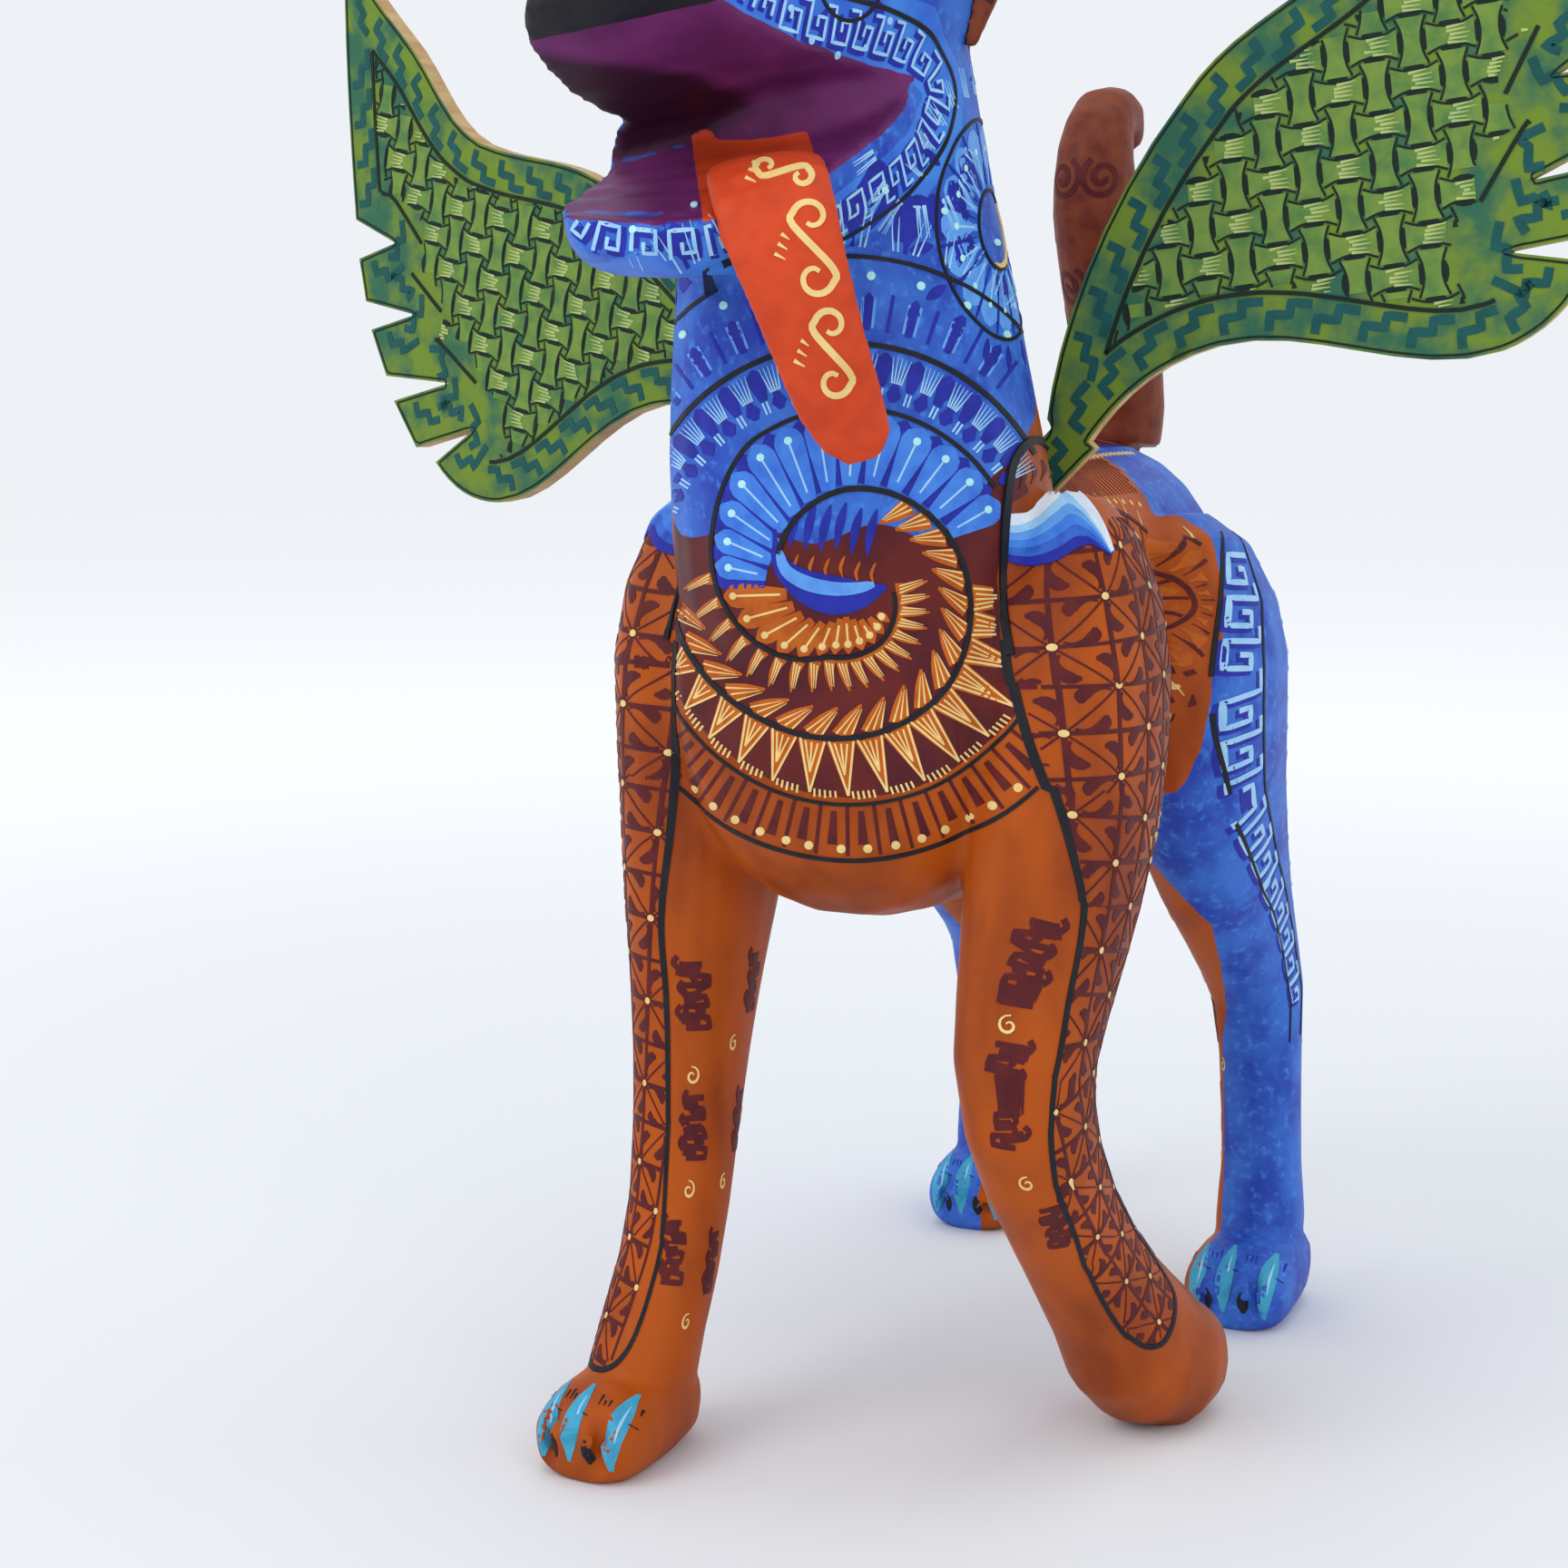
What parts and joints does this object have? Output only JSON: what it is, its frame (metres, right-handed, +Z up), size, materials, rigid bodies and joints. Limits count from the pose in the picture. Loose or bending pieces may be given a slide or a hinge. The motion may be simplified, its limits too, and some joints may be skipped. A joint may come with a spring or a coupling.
{
  "type": "winged dog figure",
  "caption": "Carved, painted wooden winged dog with an open mouth and a long tongue; pegged head and legs, plug-in wings, ears and tail.",
  "frame": {"origin": "on the floor under the centre of the whole figure's bounding box", "axes": "+Z up, +X towards the dog's left, and the dog faces -Y"},
  "size_m": [0.3614, 0.329, 0.4368],
  "materials": {
    "brown_paint": "satin acrylic paint over carved wood",
    "blue_paint": "satin acrylic paint over carved wood",
    "green_paint": "satin acrylic paint over thin board",
    "red_paint": "satin acrylic paint over carved wood",
    "rust_paint": "satin acrylic paint over carved wood",
    "bare_wood": "unpainted dowel"
  },
  "bodies": {
    "figure": {"torso": "brown_paint", "head": "blue_paint", "tongue": "red_paint", "right_front_leg": "brown_paint", "left_front_leg": "brown_paint", "right_hind_leg": "blue_paint", "left_hind_leg": "blue_paint", "right_front_leg_dowel_1": "bare_wood", "right_front_leg_dowel_2": "bare_wood", "left_front_leg_dowel_1": "bare_wood", "left_front_leg_dowel_2": "bare_wood", "right_hind_leg_dowel_1": "bare_wood", "right_hind_leg_dowel_2": "bare_wood", "left_hind_leg_dowel_1": "bare_wood", "left_hind_leg_dowel_2": "bare_wood", "head_dowel_1": "bare_wood", "head_dowel_2": "bare_wood"},
    "left_wing": {"left_wing": "green_paint"},
    "right_wing": {"right_wing": "green_paint"},
    "left_ear": {"left_ear": "rust_paint"},
    "right_ear": {"right_ear": "rust_paint"},
    "tail": {"tail": "rust_paint"}
  },
  "joints": [
    {"name": "left_wing_pull", "type": "slide", "parent": "figure", "child": "left_wing", "axis": [0.6909, 0.0726, 0.7193], "range_m": [0, 0.04]},
    {"name": "right_wing_pull", "type": "slide", "parent": "figure", "child": "right_wing", "axis": [-0.6755, 0.1622, 0.7193], "range_m": [0, 0.04]},
    {"name": "left_ear_pull", "type": "slide", "parent": "figure", "child": "left_ear", "axis": [0.4924, -0.0868, 0.866], "range_m": [0, 0.035]},
    {"name": "right_ear_pull", "type": "slide", "parent": "figure", "child": "right_ear", "axis": [-0.4924, 0.0868, 0.866], "range_m": [0, 0.035]},
    {"name": "tail_pull", "type": "slide", "parent": "figure", "child": "tail", "axis": [0, 0.1191, 0.9929], "range_m": [0, 0.04]}
  ]
}
